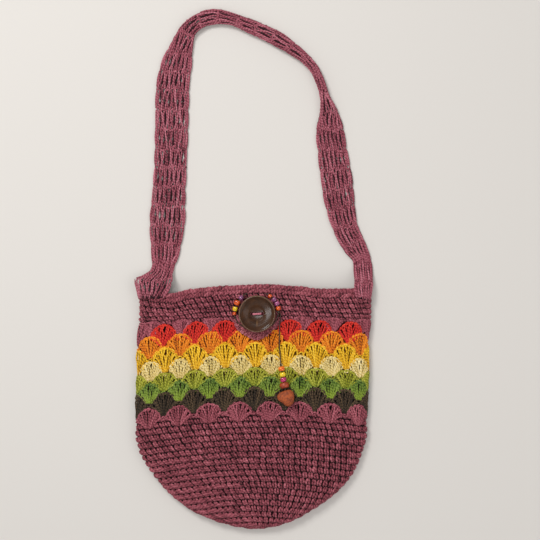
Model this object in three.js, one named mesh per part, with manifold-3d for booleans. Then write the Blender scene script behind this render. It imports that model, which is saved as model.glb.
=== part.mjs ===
// A crocheted crossbody bag that lies on its back, with its front up.
// Millimetres. X runs across the bag, Y towards the crown of the strap, Z up from the table.
// Heights along Y are measured from the rim of the mouth, and the whole bag is centred at the end.
import * as THREE from "three";
import { mergeVertices } from "three/addons/utils/BufferGeometryUtils.js";
import Module from "manifold-3d";

const wasm = await Module();
wasm.setup();

// Clearances
const seatGap = 0.3;
const cordClearance = 0.35;

// Pouch, knitted in the round and flattened
const pouchWidth = 244;
const pouchHeight = 252;
const pouchDepth = 16;
const wallThickness = 3.4;
const foldHeight = 5;
const backCornerRun = 12;
const bottomRise = 104;
const bottomRoundness = 1.8;
const frontFlatness = 5;
const bottomFullness = 8;

// Plain band at the mouth and the seven coloured shell rounds below it
const bandHeight = 35.5;
const roundHeight = 12.2;
const roundDroop = 6;
const roundNames = ["red", "orange", "yellow", "cream", "olive", "green", "brown"];

// Shoulder strap, one flat band that bunches up where it narrows
const strapSectionArea = 112;
const strapThickest = 8.5;
const strapThinnest = 3.2;
const strapFootDepth = 14;
const strapFootLength = 26;
const strapEdgeCut = 1.3;
// Each row is the inset from the side of the rim, the rise above the rim and the width
const leftLeg = [
  [18.5, seatGap, 38], [20.5, 8, 37], [27.5, 23, 27], [30.5, 45, 32], [32, 68, 37], [33.5, 99, 35],
  [35.5, 132, 34], [36.5, 170, 35], [37.5, 207, 35], [42, 235, 32], [48, 255, 23],
];
// Each row is the distance from the middle of the bag, the rise above the rim and the width
const crown = [
  [-67, 271, 17], [-53, 281, 16], [-37.5, 284, 15.5], [-21.5, 281, 12.5], [0, 272.5, 14.5],
  [24, 261.5, 15.5], [41.5, 250, 12.5], [56, 238.5, 10],
];
const rightLeg = [
  [56.5, 226.5, 9], [50.5, 212, 9], [46.5, 198.5, 10], [43, 184, 19], [41.5, 166, 29], [38.5, 141, 31],
  [34.5, 113, 33], [30.5, 86, 31], [24.5, 61, 26], [15.5, 43, 24], [7.5, 27, 20], [5.5, 13.5, 17.5],
  [7, seatGap, 18.5],
];

// Button, its thread and the pointed tab that it is sewn through
const buttonX = 4.3;
const buttonDrop = 26.5;
const buttonDiameter = 38;
const buttonThickness = 4.4;
const buttonHoleSpacing = 10.8;
const buttonHoleDiameter = 3.6;
const buttonRecessDepth = 2.5;
const buttonRecessDiameter = 16;
const tabThickness = 2.4;
const tabWidth = 42;
const tabNeckWidth = 28;
const tabTopDrop = 12;
const tabShoulderDrop = 31.5;
const tabTipDrop = 53.4;
const shankHeight = 2.6;
const shankDiameter = 4.4;
const threadWidth = 1.5;

// Waxed cord: across the mouth band, down both sides of the button and round below its shank
const cordDiameter = 1.2;
// Each row is X, the drop below the rim and the height above the front face
const loopRoute = [
  [-6.2, 5.2, 0.95], [-9.3, 7.4, 1.9], [-12.1, 10.1, 2.95], [-14.4, 12.6, 3.2], [-16.3, 15.2, 3.4],
  [-17.6, 18.4, 3.25], [-18.4, 21.5, 3.05], [-19, 24, 2.9], [-19.2, 26.5, 2.9], [-18.4, 30.5, 3.7],
  [-15.5, 35.5, 3.9], [-10, 39.8, 4], [-3, 42.2, 4], [4.3, 43, 4], [11.6, 42.2, 4], [18.4, 39.2, 4],
  [23.2, 34.2, 3.9], [25.9, 28.8, 3.7], [26.4, 25, 3.2], [26.4, 21, 2.95], [25.9, 18.5, 2.95],
  [24.9, 16.2, 2.95], [23.5, 14, 2.95], [21.9, 12, 2.95], [19.9, 10.2, 2.75], [17.7, 8.5, 2.5],
  [15.4, 6.9, 1.7], [13, 5.4, 0.95],
];
const dangleRoute = [
  [28.4, 26.4, 3], [28.4, 28.6, 2.4], [28.1, 32, 1.3], [27.7, 37, 0.95], [27.4, 44, 0.95],
  [27.2, 51, 0.95], [27.5, 60, 0.95], [28, 68, 0.95], [28.5, 74.5, 1.6], [29, 79.4, 3.3],
  [29.6, 83.4, 4.2], [30.3, 87, 4.25], [30.9, 90.5, 4.2], [31.7, 95.5, 4.5], [32.8, 101.1, 5.2],
  [33.6, 105.4, 5.1], [33.9, 110, 5], [34, 116, 5], [34, 123, 5],
];

// Glass beads by the row of the route that they sit on, with diameter and length
const loopBeads = [
  ["loop_bead_lilac_left", 2, 5.2, 4.4, 0x8c4a78],
  ["loop_bead_orange_left", 4, 6.1, 5, 0xd8540c],
  ["loop_bead_yellow_left", 6, 5.4, 4.4, 0xe8c818],
  ["loop_bead_small_left", 8, 4, 3.2, 0xd8540c],
  ["loop_bead_orange_right", 19, 5.2, 4.2, 0xe0680c],
  ["loop_bead_magenta_right", 21, 5.2, 4.2, 0xa04070],
  ["loop_bead_lilac_right", 23, 5.2, 4.2, 0x8c4a78],
  ["loop_bead_small_right", 25, 4.2, 3.4, 0xe0680c],
];
const dangleBeads = [
  ["dangle_bead_orange", 10, 6.7, 4.7, 0xe0680c],
  ["dangle_bead_yellow", 12, 6.6, 4.6, 0xe8c818],
  ["dangle_bead_magenta", 13, 6.5, 4.6, 0xc02868],
  ["dangle_bead_brown", 14, 9.6, 5.8, 0x8c3a14],
];
const tieRow = 18;
const tieWall = 0.6;
const tieLength = 1.8;
const knotDiameter = 2.6;

// Polished stone drop at the end of the dangle
const dropWidth = 17.3;
const dropLength = 16.4;
const dropThickness = 9.2;
const dropX = 33.8;
const dropDrop = 113.8;
const dropCorner = 0.07;

// Lengths that follow from the ones above
const halfWidth = pouchWidth / 2;
const tabTop = pouchDepth + seatGap + tabThickness;
const buttonUnderside = tabTop + shankHeight;
const cordBore = cordDiameter / 2 + cordClearance;

const plum = 0x7b3a44;
const bag = new THREE.Group();

function add(name, geometry, color, roughness, metalness = 0) {
  const material = new THREE.MeshStandardMaterial({ color, roughness, metalness });
  const mesh = new THREE.Mesh(geometry, material);
  mesh.name = name;
  bag.add(mesh);
  return mesh;
}

function meshGeometry(points, faces) {
  const geometry = new THREE.BufferGeometry();
  geometry.setAttribute("position", new THREE.Float32BufferAttribute(points.flat(), 3));
  geometry.setIndex(faces.flat());
  return geometry;
}

// Half the width of the pouch at a drop below the rim, for a wall line set in by some amount
function halfWidthAt(drop, inset) {
  const start = pouchHeight - bottomRise;
  const depth = Math.max(0, (drop - start) / (bottomRise - inset));
  const share = Math.max(0, 1 - depth ** bottomRoundness) ** (1 / bottomRoundness);
  return (halfWidth - inset) * share;
}

// How far the section is still open, from 1 in the body to 0 at the lowest point
function fullnessAt(drop, inset) {
  const start = pouchHeight - bottomRise;
  const depth = Math.min(1, Math.max(0, (drop - start) / (bottomRise - inset)));
  return Math.sqrt(1 - depth ** bottomFullness);
}

// One closed line round the flattened pouch: over the front, then back along the flat underside
function sectionLine(drop, inset) {
  const half = halfWidthAt(drop, inset);
  const open = fullnessAt(drop, inset);
  const top = foldHeight + (pouchDepth - inset - foldHeight) * open;
  const floor = foldHeight - (foldHeight - inset) * open;
  const run = Math.min(backCornerRun, half * 0.5);
  const line = [];
  const frontSteps = 20;
  for (let i = 0; i <= frontSteps; i += 1) {
    const across = Math.cos((Math.PI * i) / frontSteps);
    const rise = Math.sqrt(Math.max(0, 1 - Math.abs(across) ** frontFlatness));
    line.push([half * across, foldHeight + (top - foldHeight) * rise]);
  }
  const cornerSteps = 4;
  for (let i = 1; i <= cornerSteps; i += 1) {
    const turn = (Math.PI / 2) * (1 - i / cornerSteps);
    line.push([-(half - run) - run * Math.sin(turn), foldHeight - (foldHeight - floor) * Math.cos(turn)]);
  }
  const flatSteps = 8;
  for (let i = 1; i < flatSteps; i += 1) {
    line.push([-(half - run) + (2 * (half - run) * i) / flatSteps, floor]);
  }
  for (let i = 0; i < cornerSteps; i += 1) {
    const turn = (Math.PI / 2) * (i / cornerSteps);
    line.push([half - run + run * Math.sin(turn), foldHeight - (foldHeight - floor) * Math.cos(turn)]);
  }
  return line;
}

// The section line as points in space, with its ends hanging lower than its middle by the droop
function sectionLoop(drop, inset, droop) {
  return sectionLine(drop, inset).map(([x, z]) => [x, -drop - droop * (x / halfWidth) ** 2, z]);
}

// Skin over a row of loops that follow each other, either way round
function skin(loops, points, faces, reversed) {
  const count = loops[0].length;
  const start = points.length;
  loops.forEach((loop) => points.push(...loop));
  for (let k = 0; k + 1 < loops.length; k += 1) {
    for (let i = 0; i < count; i += 1) {
      const a = start + k * count + i;
      const b = start + k * count + ((i + 1) % count);
      const first = reversed ? [a, a + count, b] : [a, b, a + count];
      const second = reversed ? [b, a + count, b + count] : [b, b + count, a + count];
      faces.push(first, second);
    }
  }
  return { first: start, last: start + (loops.length - 1) * count, count };
}

// Fan that closes the last loop of a skin
function cap(row, points, faces, reversed) {
  const middle = new THREE.Vector3();
  for (let i = 0; i < row.count; i += 1) {
    middle.add(new THREE.Vector3(...points[row.last + i]));
  }
  middle.divideScalar(row.count);
  points.push(middle.toArray());
  for (let i = 0; i < row.count; i += 1) {
    const a = row.last + i;
    const b = row.last + ((i + 1) % row.count);
    faces.push(reversed ? [a, points.length - 1, b] : [a, b, points.length - 1]);
  }
}

// Flat rim between an outer and an inner loop
function rim(outer, inner, count, faces, reversed) {
  for (let i = 0; i < count; i += 1) {
    const j = (i + 1) % count;
    const quad = [outer + i, outer + j, inner + j, inner + i];
    const [a, b, c, d] = reversed ? quad : quad.reverse();
    faces.push([a, b, c], [a, c, d]);
  }
}

// A band of fabric that is open at both ends
function fabricRing(upper, lower) {
  const points = [];
  const faces = [];
  const outer = skin([sectionLoop(...upper(0)), sectionLoop(...lower(0))], points, faces, false);
  const inner = skin(
    [sectionLoop(...upper(wallThickness)), sectionLoop(...lower(wallThickness))],
    points,
    faces,
    true,
  );
  rim(outer.first, inner.first, outer.count, faces, false);
  rim(outer.last, inner.last, outer.count, faces, true);
  return meshGeometry(points, faces);
}

// Top band, then the coloured rounds, each one sitting just below the last
let drop = bandHeight;
add(
  "top_band",
  fabricRing((inset) => [0, inset, 0], (inset) => [bandHeight - seatGap, inset, roundDroop]),
  plum,
  0.9,
);
const roundColours = [0xc8281e, 0xd67a10, 0xdca80c, 0xd8c07a, 0x8a8a20, 0x4a6a20, 0x33281c];
roundNames.forEach((name, i) => {
  const top = drop;
  const bottom = top + roundHeight - seatGap;
  const ring = fabricRing((inset) => [top, inset, roundDroop], (inset) => [bottom, inset, roundDroop]);
  add(`shell_round_${name}`, ring, roundColours[i], 0.9);
  drop += roundHeight;
});

// Rounded lower pouch, closed at the bottom
function lowerPouch(top) {
  const points = [];
  const faces = [];
  const levels = 14;
  const loopsAt = (inset) => {
    const low = pouchHeight - inset - 0.6;
    const loops = [];
    for (let k = 0; k <= levels; k += 1) {
      const share = 1 - (1 - k / levels) ** 2;
      const droop = roundDroop * Math.max(0, 1 - k / 3);
      loops.push(sectionLoop(top + (low - top) * share, inset, droop));
    }
    return loops;
  };
  const outer = skin(loopsAt(0), points, faces, false);
  cap(outer, points, faces, false);
  const inner = skin(loopsAt(wallThickness), points, faces, true);
  cap(inner, points, faces, true);
  rim(outer.first, inner.first, outer.count, faces, false);
  return meshGeometry(points, faces);
}
add("lower_pouch", lowerPouch(drop), plum, 0.9);

// Strap: a flat section carried along a smooth line, deeper at its feet and where it bunches
function strapStations() {
  const rows = [
    ...leftLeg.map(([inset, rise, width]) => [-halfWidth + inset, rise, width]),
    ...crown,
    ...rightLeg.map(([inset, rise, width]) => [halfWidth - inset, rise, width]),
  ];
  const path = new THREE.CatmullRomCurve3(
    rows.map((row) => new THREE.Vector3(...row)),
    false,
    "centripetal",
  );
  const steps = 72;
  const stations = [];
  for (let i = 0; i <= steps; i += 1) {
    stations.push(path.getPoint(i / steps));
  }
  return stations;
}

function strapSection(width, depth) {
  const side = width / 2;
  const cut = Math.min(strapEdgeCut, depth / 3);
  return [
    [side - cut, 0], [-side + cut, 0], [-side, cut], [-side, depth - cut],
    [-side + cut, depth], [side - cut, depth], [side, depth - cut], [side, cut],
  ];
}

function strapGeometry() {
  const stations = strapStations();
  const last = stations.length - 1;
  const loops = stations.map((at, i) => {
    const before = stations[Math.max(0, i - 1)];
    const after = stations[Math.min(last, i + 1)];
    const bunched = THREE.MathUtils.clamp(strapSectionArea / at.z, strapThinnest, strapThickest);
    const nearRim = THREE.MathUtils.smoothstep(strapFootLength - at.y, 0, strapFootLength);
    const squareToRim = new THREE.Vector3(0, i < last / 2 ? 1 : -1, 0);
    const along = new THREE.Vector3(after.x - before.x, after.y - before.y, 0).normalize();
    along.lerp(squareToRim, nearRim).normalize();
    const depth = bunched + (strapFootDepth - bunched) * nearRim;
    return strapSection(at.z, depth).map(([s, z]) => [at.x + along.y * s, at.y - along.x * s, z]);
  });
  const points = [];
  const faces = [];
  const row = skin(loops, points, faces, false);
  cap(row, points, faces, false);
  cap({ ...row, last: row.first }, points, faces, true);
  return meshGeometry(points, faces);
}
add("strap", strapGeometry(), plum, 0.9);

// Pointed tab below the button
function tabGeometry() {
  const neck = tabNeckWidth / 2;
  const shoulder = tabWidth / 2;
  const outline = new THREE.Shape();
  outline.moveTo(-neck, -tabTopDrop);
  outline.lineTo(-neck, -tabShoulderDrop + 2);
  outline.lineTo(-shoulder, -tabShoulderDrop);
  outline.quadraticCurveTo(-shoulder * 0.45, -tabTipDrop, 0, -tabTipDrop);
  outline.quadraticCurveTo(shoulder * 0.45, -tabTipDrop, shoulder, -tabShoulderDrop);
  outline.lineTo(neck, -tabShoulderDrop + 2);
  outline.lineTo(neck, -tabTopDrop);
  outline.closePath();
  return new THREE.ExtrudeGeometry(outline, { depth: tabThickness, bevelEnabled: false, curveSegments: 8 });
}
const tab = add("button_tab", tabGeometry(), plum, 0.9);
tab.position.set(buttonX, 0, pouchDepth + seatGap);

function toManifold(geometry, matrix) {
  const bare = geometry.clone().applyMatrix4(matrix);
  bare.deleteAttribute("normal");
  bare.deleteAttribute("uv");
  const merged = mergeVertices(bare, 1e-4);
  const vertProperties = new Float32Array(merged.attributes.position.array);
  const triVerts = new Uint32Array(merged.index.array);
  return new wasm.Manifold(new wasm.Mesh({ numProp: 3, vertProperties, triVerts }));
}

function fromManifold(solid) {
  const mesh = solid.getMesh();
  const geometry = new THREE.BufferGeometry();
  geometry.setAttribute("position", new THREE.BufferAttribute(new Float32Array(mesh.vertProperties), 3));
  geometry.setIndex(Array.from(mesh.triVerts));
  return geometry;
}

const upright = new THREE.Matrix4().makeRotationX(Math.PI / 2);

function shifted(x, y, z) {
  return new THREE.Matrix4().makeTranslation(x, y, z);
}

// Dished two-hole button, turned round its own axis
function buttonGeometry() {
  const radius = buttonDiameter / 2;
  const recess = buttonRecessDiameter / 2;
  const floor = buttonThickness - buttonRecessDepth;
  const profile = [
    [0, 0], [radius * 0.45, 0.15], [radius * 0.8, 0.9], [radius - 0.7, 1.7], [radius, 2.6],
    [radius, buttonThickness - 0.7], [radius - 0.7, buttonThickness], [radius - 1.5, buttonThickness - 0.1],
    [radius - 2.6, buttonThickness - 1.1], [radius * 0.62, buttonThickness - 1.6],
    [recess, buttonThickness - 1.8], [recess - 1.6, floor], [0, floor],
  ];
  const turned = new THREE.LatheGeometry(profile.map(([r, z]) => new THREE.Vector2(r, z)), 36);
  let solid = toManifold(turned, upright);
  const hole = new THREE.CylinderGeometry(buttonHoleDiameter / 2, buttonHoleDiameter / 2, 12, 16);
  for (const side of [-1, 1]) {
    const place = shifted((side * buttonHoleSpacing) / 2, 0, 0).multiply(upright);
    solid = solid.subtract(toManifold(hole, place));
  }
  return fromManifold(solid);
}
const button = add("button", buttonGeometry(), 0x4a2c10, 0.25);
button.position.set(buttonX, -buttonDrop, buttonUnderside);

// Sewing thread: a bar over the recess, a leg down each hole, a bar below and the wound shank
function threadGeometry() {
  const recessFloor = buttonThickness - buttonRecessDepth;
  const legX = buttonHoleSpacing / 2 - buttonHoleDiameter / 2 + seatGap + threadWidth / 2;
  const span = 2 * legX + threadWidth;
  const barTop = recessFloor + seatGap + threadWidth * 0.7;
  const barLow = -seatGap - threadWidth * 0.7;
  const bar = new THREE.BoxGeometry(span, threadWidth, threadWidth * 0.7);
  const leg = new THREE.BoxGeometry(threadWidth, threadWidth, barTop - barLow);
  const shankFoot = -shankHeight + seatGap;
  const shankLength = barLow + 0.4 - shankFoot;
  const shank = new THREE.CylinderGeometry(shankDiameter / 2, shankDiameter / 2, shankLength, 14);
  let solid = toManifold(bar, shifted(0, 0, barTop - threadWidth * 0.35));
  solid = solid.add(toManifold(bar, shifted(0, 0, barLow + threadWidth * 0.35)));
  for (const side of [-1, 1]) {
    solid = solid.add(toManifold(leg, shifted(side * legX, 0, (barTop + barLow) / 2)));
  }
  const shankPlace = shifted(0, 0, shankFoot + shankLength / 2).multiply(upright);
  return fromManifold(solid.add(toManifold(shank, shankPlace)));
}
const thread = add("button_thread", threadGeometry(), 0xb4606c, 0.8);
thread.position.copy(button.position);

// Waxed cords, each a round section along its own smooth line
function routeCurve(route) {
  const points = route.map(([x, down, height]) => new THREE.Vector3(x, -down, pouchDepth + height));
  return new THREE.CatmullRomCurve3(points, false, "centripetal");
}

function cordGeometry(curve) {
  const section = new THREE.Shape();
  const sides = 8;
  for (let i = 0; i < sides; i += 1) {
    const turn = (2 * Math.PI * i) / sides;
    const x = (cordDiameter / 2) * Math.cos(turn);
    const y = (cordDiameter / 2) * Math.sin(turn);
    if (i === 0) {
      section.moveTo(x, y);
    } else {
      section.lineTo(x, y);
    }
  }
  section.closePath();
  const steps = Math.round(curve.getLength() / (2.2 * cordDiameter));
  return new THREE.ExtrudeGeometry(section, { steps, extrudePath: curve, bevelEnabled: false });
}
const loopCurve = routeCurve(loopRoute);
const dangleCurve = routeCurve(dangleRoute);
add("loop_cord", cordGeometry(loopCurve), 0x3a2408, 0.6);
add("dangle_cord", cordGeometry(dangleCurve), 0x3a2408, 0.6);

// A bead or ring with a bore for the cord, as a turned section that closes on itself
function beadGeometry(diameter, length) {
  const section = [];
  const steps = 7;
  const height = diameter / 2 - cordBore;
  for (let i = 0; i <= steps; i += 1) {
    const turn = Math.PI * (i / steps);
    section.push(new THREE.Vector2(cordBore + height * Math.sin(turn) ** 0.7, -(length / 2) * Math.cos(turn)));
  }
  section.push(section[0].clone());
  return new THREE.LatheGeometry(section, 16);
}

function placeOnCord(mesh, curve, route, row) {
  const share = row / (route.length - 1);
  const along = curve.getTangent(share);
  mesh.position.copy(curve.getPoint(share));
  mesh.quaternion.setFromUnitVectors(new THREE.Vector3(0, 1, 0), along);
}

for (const [name, row, diameter, length, color] of loopBeads) {
  placeOnCord(add(name, beadGeometry(diameter, length), color, 0.35), loopCurve, loopRoute, row);
}
for (const [name, row, diameter, length, color] of dangleBeads) {
  placeOnCord(add(name, beadGeometry(diameter, length), color, 0.35), dangleCurve, dangleRoute, row);
}

// The hitch that ties the dangle to the loop
const tieDiameter = 2 * (cordBore + tieWall);
const tie = add("dangle_tie", beadGeometry(tieDiameter, tieLength), 0x3a2408, 0.6);
placeOnCord(tie, loopCurve, loopRoute, tieRow);

// Stone drop with three soft corners, bored from end to end
function dropGeometry() {
  const pebble = new THREE.SphereGeometry(0.5, 24, 14);
  const position = pebble.attributes.position;
  const point = new THREE.Vector3();
  for (let i = 0; i < position.count; i += 1) {
    point.fromBufferAttribute(position, i);
    const turn = Math.atan2(point.z, point.x);
    const swell = 1 + dropCorner * Math.cos(3 * (turn + 0.35));
    position.setXYZ(i, point.x * swell * dropWidth, point.y * dropThickness, point.z * swell * dropLength);
  }
  const bore = new THREE.CylinderGeometry(cordBore, cordBore, dropLength * 1.5, 12);
  const boreX = dangleRoute[dangleRoute.length - 1][0] - dropX;
  return fromManifold(toManifold(pebble, upright).subtract(toManifold(bore, shifted(boreX, 0, 0))));
}
const endRow = dangleRoute[dangleRoute.length - 1];
const stone = add("stone_drop", dropGeometry(), 0x8e3c10, 0.45);
stone.position.set(dropX, -dropDrop, pouchDepth + endRow[2]);

// The knot in the cord's end keeps the drop on
const knot = add("end_knot", new THREE.SphereGeometry(knotDiameter / 2, 10, 8), 0x3a2408, 0.7);
knot.position.set(endRow[0], -endRow[1] - seatGap - knotDiameter / 2, pouchDepth + endRow[2]);

// The origin is the middle of the footprint of everything but what hangs on the cords
const hangs = new Set(["loop_cord", "dangle_cord", "dangle_tie", "stone_drop", "end_knot"]);
bag.updateMatrixWorld(true);
const footprint = new THREE.Box3();
for (const mesh of bag.children) {
  if (!hangs.has(mesh.name) && !mesh.name.includes("_bead_")) {
    footprint.expandByObject(mesh, true);
  }
}
const middle = footprint.getCenter(new THREE.Vector3());
bag.position.set(-middle.x, -middle.y, -footprint.min.z);

export default bag;
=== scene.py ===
import bpy
import math
import numpy as np
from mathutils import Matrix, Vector


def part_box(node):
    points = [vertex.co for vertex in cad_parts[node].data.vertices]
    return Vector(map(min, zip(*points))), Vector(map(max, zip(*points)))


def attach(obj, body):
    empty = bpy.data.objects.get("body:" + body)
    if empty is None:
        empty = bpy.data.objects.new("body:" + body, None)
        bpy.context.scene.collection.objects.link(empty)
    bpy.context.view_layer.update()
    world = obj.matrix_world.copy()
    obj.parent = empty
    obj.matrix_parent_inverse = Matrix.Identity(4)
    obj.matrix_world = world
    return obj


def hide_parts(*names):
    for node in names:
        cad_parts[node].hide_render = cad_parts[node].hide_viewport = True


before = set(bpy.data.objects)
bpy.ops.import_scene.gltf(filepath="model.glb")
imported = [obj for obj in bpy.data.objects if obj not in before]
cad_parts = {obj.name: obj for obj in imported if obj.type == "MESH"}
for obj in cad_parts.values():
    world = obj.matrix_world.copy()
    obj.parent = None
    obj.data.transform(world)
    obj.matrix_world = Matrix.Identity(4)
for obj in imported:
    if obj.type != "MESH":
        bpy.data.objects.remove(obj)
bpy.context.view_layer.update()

# The bag lies on its back on a pale floor and is looked at from straight above. Its mouth edge is the
# line that everything is measured from: x across from the middle, drop down towards the bottom, in mm.
band_low, band_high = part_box("top_band")
middle_x = 500 * (band_low.x + band_high.x)
mouth_y = 1000 * band_high.y


def placed(name, data):
    """A new object of this data, in the scene."""
    made = bpy.data.objects.new(name, data)
    bpy.context.scene.collection.objects.link(made)
    return made


camera_height = 1.25
cloth_height = 0.012
view_width = 0.5616
sensor_width = 36
camera = placed("camera", bpy.data.cameras.new("camera"))
camera.data.sensor_width = sensor_width
camera.data.lens = sensor_width * (camera_height - cloth_height) / view_width
camera.location = (0.0163, -0.0015, camera_height)
bpy.context.scene.camera = camera


def new_finish(name):
    """A material with its nodes, its links and its shader."""
    finish = bpy.data.materials.new(name)
    finish.use_nodes = True
    nodes = finish.node_tree.nodes
    return finish, nodes, finish.node_tree.links, nodes["Principled BSDF"]


def set_sockets(node, values):
    """Sets a node's sockets, by their names."""
    for socket, value in values.items():
        node.inputs[socket].default_value = value


def start_from(add, name, **how):
    """A new primitive, with nothing else selected."""
    bpy.ops.object.select_all(action="DESELECT")
    add(**how)
    made = bpy.context.object
    made.name = name
    return made


floor_gap = 0.0004
floor = start_from(bpy.ops.mesh.primitive_plane_add, "floor", size=6, location=(0, 0, -floor_gap))
pale_floor, nodes, links, shader = new_finish("pale_floor")
set_sockets(shader, {"Base Color": (0.60, 0.57, 0.53, 1), "Roughness": 0.8})
floor.data.materials.append(pale_floor)

world = bpy.data.worlds.new("studio")
world.use_nodes = True
set_sockets(world.node_tree.nodes["Background"], {"Color": (0.56, 0.56, 0.57, 1)})
bpy.context.scene.world = world
for place, power, width, height in (
    ((-0.75, 0.95, 1.35), 20, 0.6, 0.6), ((1.2, -0.6, 1.1), 4, 1.0, 1.0),
    ((-0.2, -0.1, 1.35), 3.0, 0.12, 0.5), ((0.2, -0.13, 1.35), 0.25, 0.1, 0.25),
):
    lamp = placed("lamp", bpy.data.lights.new("lamp", "AREA"))
    lamp.data.shape = "RECTANGLE"
    lamp.data.energy = power
    lamp.data.size = width
    lamp.data.size_y = height
    lamp.location = place
    lamp.rotation_euler = (-lamp.location).to_track_quat("-Z", "Y").to_euler()
bpy.context.scene.view_settings.view_transform = "Standard"


# Lower pouch: plain plum single crochet, worked round and round down to the rounded bottom. Every stitch
# is strands of plied cotton yarn over a ring for the backs of the same stitches, painted near black as shade.
half_pouch = 122.0
bottom_start = 148.0
bottom_rise = 104.0
bottom_close = 240.0
fold_height = 5.0
fold_curl = 12.0
front_rise = 11.0
lip_lap = 1.2
lip_reach = 45.0
row_drops = [-8, 0, 12, 40, 120, 144, 171, 196, 220, 246, 256]
row_bows = [0, 0, 0.00012, 0.00047, 0.00047, 0.0006, 0.00087, 0.0011, 0.0015, 0.0021, 0.0024]
row_tilts = [0, 0, 0.004, 0.019, 0.019, 0.019, 0.016, 0.01, 0.004, 0, 0]
sway_drops = [0, 15, 38, 56, 85, 110, 132, 156, 172, 185, 200, 215, 234, 252]
sways = [1.4, 2.2, 1.75, -0.7, 0.1, -1.25, -1.9, -2.2, -2.6, -1.4, -0.2, -0.65, -2.0, 3.0]
mouth_x = [-123, -104, -85, -76, -70, -56, -36, -19, 8, 25, 34, 51, 60, 73, 101, 123]
mouth_sag = [1.0, 4.6, 6.0, 4.0, 2.0, 0.2, -1.5, -2.4, -3.6, -3.0, -2.0, -1.2, 0.6, 1.2, 0.8, 0.0]
sag_drops = [0, 17, 23, 31]
sag_shares = [1, 1, 0.4, 0]


def half_width(drop):
    share = np.clip((drop - bottom_start) / bottom_rise, 0, 1)
    return half_pouch * (1 - share**1.8) ** (1 / 1.8)


def row_ends():
    """Where each row meets the pouch's left and right edge, by the drop at its middle."""
    drops = np.linspace(-10, 252, 263)
    bow = np.interp(drops, row_drops, row_bows)
    tilt = np.interp(drops, row_drops, row_tilts)
    ends = []
    for side in (-1, 1):
        low = np.zeros_like(drops)
        high = np.full_like(drops, half_pouch)
        for _ in range(40):
            x = (low + high) / 2
            inside = half_width(drops + bow * x * x - side * tilt * x) > x
            low = np.where(inside, x, low)
            high = np.where(inside, high, x)
        ends.append(low)
    return drops, ends[0], ends[1]


end_drops, left_ends, right_ends = row_ends()


def pouch_skin(around, drop):
    """A point of the pouch. around runs 0 to 1: across the front from the left fold, then back behind."""
    turn = np.mod(around, 1.0)
    front = turn < 0.5
    u = np.where(front, 4 * turn - 1, 3 - 4 * turn)
    u = u + (0.024 + 0.03 * u) * (1 - u**14)
    end = np.where(u < 0, np.interp(drop, end_drops, left_ends), np.interp(drop, end_drops, right_ends))
    x = u * end
    fall = drop + np.interp(drop, row_drops, row_bows) * x * x - np.interp(drop, row_drops, row_tilts) * x
    half = np.maximum(half_width(fall), 0.2)
    share = np.clip(np.abs(x) / half, 0, 1)
    fullness = np.sqrt(1 - np.clip((fall - bottom_start) / bottom_rise, 0, 1) ** 8)
    front_z = fold_height + front_rise * fullness * np.sqrt(1 - share**5)
    past_fold = (np.abs(x) - (half - fold_curl)) / fold_curl
    corner = np.clip(np.maximum(past_fold, (fall - bottom_close) / fold_curl), 0, 1)
    back_z = fold_height - fold_height * np.sqrt(1 - corner**2)
    near_mouth = np.clip(1 - drop / lip_reach, 0, 1)
    sag = np.interp(x, mouth_x, mouth_sag) * np.interp(drop, sag_drops, sag_shares)
    y = mouth_y - fall - sag - np.where(front, 0, lip_lap * near_mouth)
    x = x + middle_x + np.interp(fall, sway_drops, sways)
    return np.stack([x, y, np.where(front, front_z, back_z)], -1)


def unit(arrows):
    """The arrows at a length of one."""
    return arrows / np.maximum(np.linalg.norm(arrows, axis=-1, keepdims=True), 1e-9)


def on_skin(skin, aside, ahead, facing):
    """Gives points lifted off a skin, and the way out of it there, found from small steps to both sides."""

    def place(across, along, lift):
        wide = skin(across + aside, along) - skin(across - aside, along)
        on = skin(across, along + ahead) - skin(across, along - ahead)
        out = facing * unit(np.cross(wide, on))
        return skin(across, along) + out * lift[..., None], out

    return place


on_pouch = on_skin(pouch_skin, 0.002, 0.6, -1)
end_taper = 0.6
shade_spread = 0.2


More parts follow.
